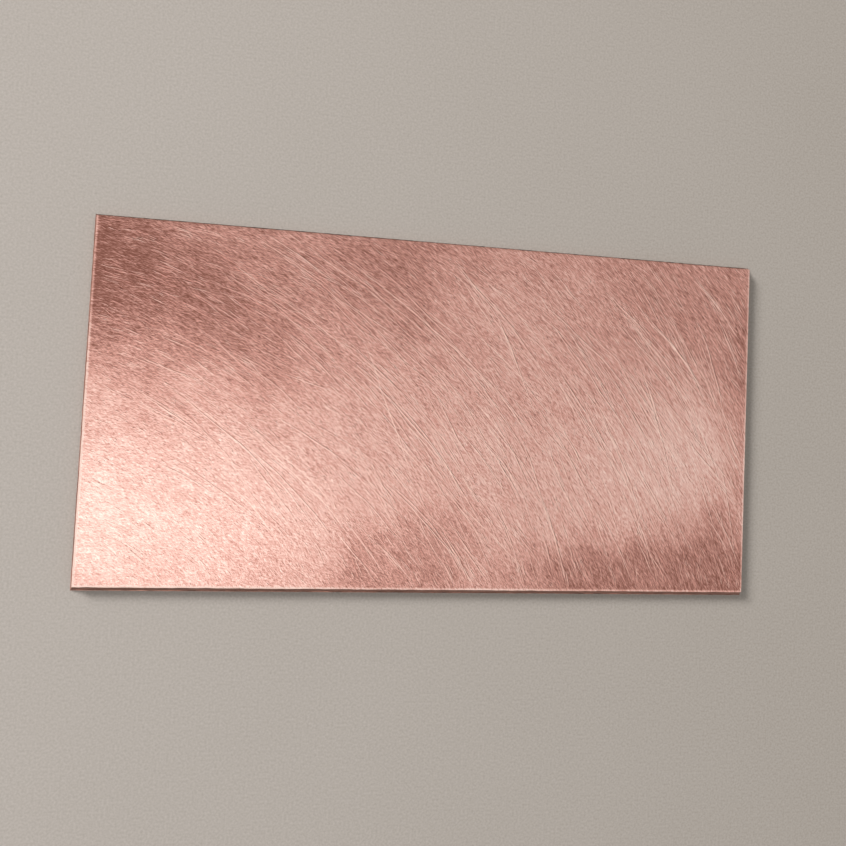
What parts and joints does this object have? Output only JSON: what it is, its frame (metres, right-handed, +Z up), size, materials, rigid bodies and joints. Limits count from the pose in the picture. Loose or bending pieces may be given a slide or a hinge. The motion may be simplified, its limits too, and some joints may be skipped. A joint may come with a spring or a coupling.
{
  "type": "copper clad board",
  "caption": "Rectangular blank of copper clad laminate, with a scrubbed copper foil on each face of a brown core and sheared edges.",
  "frame": {"origin": "centre of the board's footprint, on the lower face that it rests on", "axes": "+X along the board's length, to the right in the picture; +Y across its width, away from the edge nearest the bottom of the picture; +Z up, out of the scrubbed upper face"},
  "size_m": [0.1, 0.052, 0.0016],
  "materials": {
    "scrubbed_copper": "copper foil scrubbed by hand in arcs, satin, with fine bright scratches",
    "resin_laminate": "sheared edge of brown resin laminate: a smooth cut land over a rough broken stretch",
    "dull_copper": "copper foil as rolled, lightly dulled"
  },
  "bodies": {
    "root": {"copper_foil_top": "scrubbed_copper", "laminate_core": "resin_laminate", "copper_foil_bottom": "dull_copper"}
  },
  "joints": []
}
